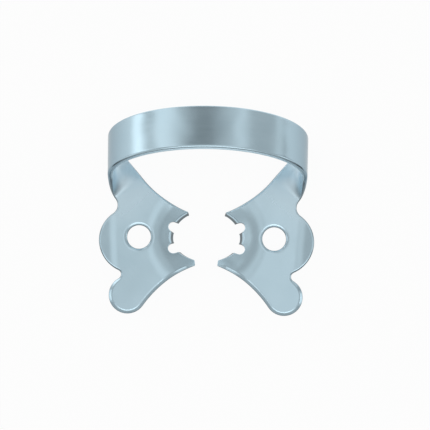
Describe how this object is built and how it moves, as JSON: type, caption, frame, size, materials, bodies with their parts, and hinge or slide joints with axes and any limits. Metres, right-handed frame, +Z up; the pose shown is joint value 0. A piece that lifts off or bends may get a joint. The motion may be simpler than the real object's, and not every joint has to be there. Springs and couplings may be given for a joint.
{
  "type": "rubber dam clamp",
  "caption": "Winged spring-steel rubber dam clamp: a leaning bow joins two wings with serrated jaws that grip a tooth and round holes that take the forceps.",
  "frame": {"origin": "centre of the bounding box, on the surface the clamp rests on", "axes": "+Z up from the table to the crown of the bow, +Y from the tooth opening towards the bow, +X across from the left wing to the right wing"},
  "size_m": [0.0282, 0.027, 0.0105],
  "materials": {
    "steel": "tumbled and polished stainless spring steel"
  },
  "bodies": {
    "root": {"dam_clamp": "steel"}
  },
  "joints": []
}
